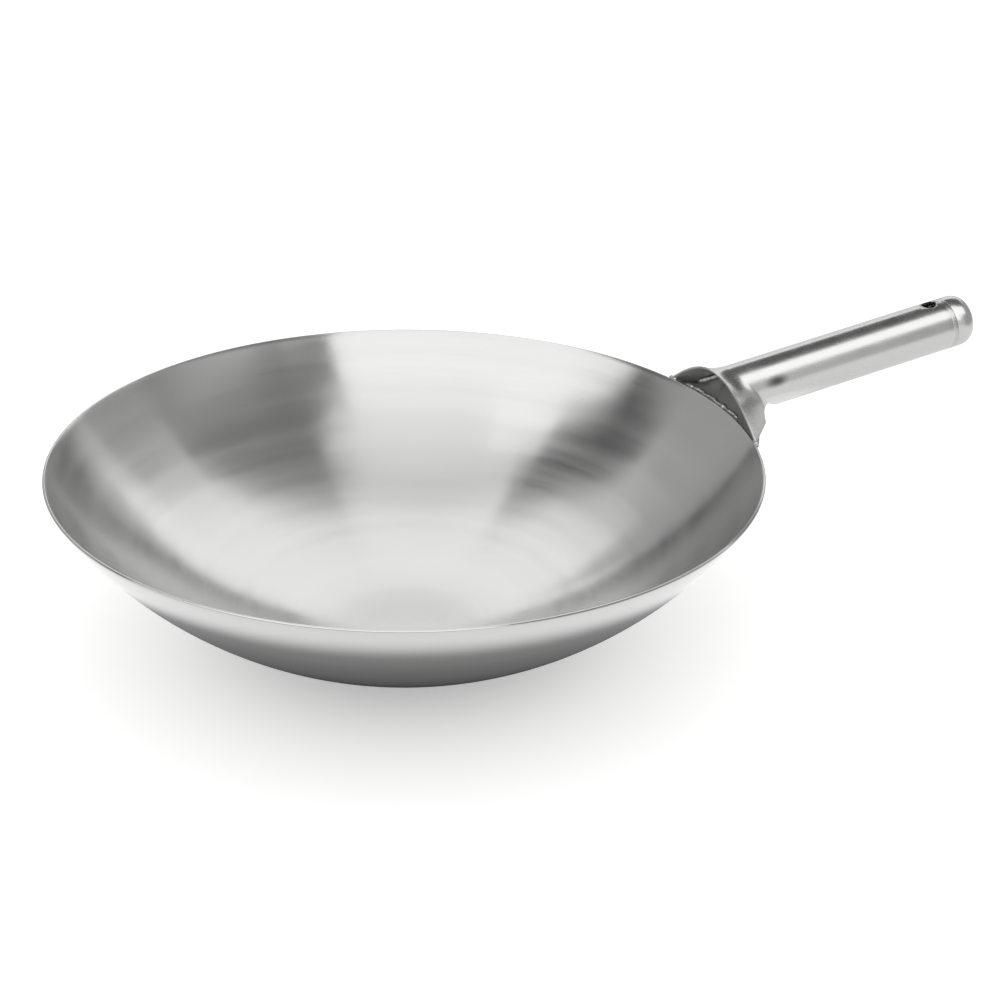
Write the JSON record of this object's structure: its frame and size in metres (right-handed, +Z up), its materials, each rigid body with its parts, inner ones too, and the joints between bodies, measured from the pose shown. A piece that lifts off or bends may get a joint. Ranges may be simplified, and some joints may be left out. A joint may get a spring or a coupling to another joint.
{
  "type": "wok",
  "caption": "Round-walled stainless steel wok with a small flat base and a hollow tube handle whose flared hood is welded over the rim, with a hanging hole near its capped end.",
  "frame": {"origin": "centre of the flat base's underside, on the bowl's axis, at the level of the surface it stands on", "axes": "+X from the bowl's axis towards the handle, +Z up along the bowl's axis, +Y to the left seen from the bowl towards the handle"},
  "size_m": [0.5036, 0.356, 0.1412],
  "materials": {
    "spun_steel": "spun and fine-brushed in circles round the bowl's axis, satin",
    "polished_steel": "satin polished along the handle, brighter than the bowl",
    "weld_steel": "bare weld metal, lightly ground"
  },
  "bodies": {
    "root": {"bowl": "spun_steel", "handle_shell": "polished_steel", "throat_plate": "polished_steel", "end_cap": "polished_steel", "cap_weld": "weld_steel", "rim_weld": "weld_steel", "throat_weld": "weld_steel", "wing_weld_left": "weld_steel", "wing_weld_right": "weld_steel", "seam_weld": "weld_steel", "seam_weld_end": "weld_steel"}
  },
  "joints": []
}
